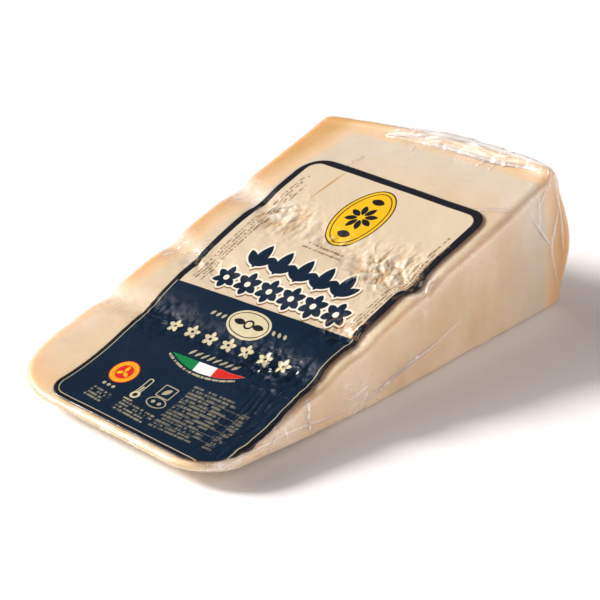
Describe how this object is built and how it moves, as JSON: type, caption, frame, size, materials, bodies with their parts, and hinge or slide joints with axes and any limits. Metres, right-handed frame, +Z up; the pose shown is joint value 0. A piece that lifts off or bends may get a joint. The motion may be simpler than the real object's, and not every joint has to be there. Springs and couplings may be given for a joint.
{
  "type": "vacuum-packed wedge of hard cheese",
  "caption": "Wedge of hard aged cheese in tight clear film, lying on one cut face, with a printed label on the other.",
  "frame": {"origin": "on the surface that the pack rests on, under the middle of its box", "axes": "+X from the worn tip to the rind, +Y towards the wheel's flat side, +Z up"},
  "size_m": [0.2074, 0.1252, 0.0632],
  "materials": {
    "cheese": "waxy hard cheese, cream paste with an amber rind, under glossy clear film",
    "clear_film": "clear shrink film with fine creases",
    "label_print": "glossy printed film, navy and cream"
  },
  "bodies": {
    "root": {"wrapped_wedge": "cheese", "label": "label_print"}
  },
  "joints": []
}
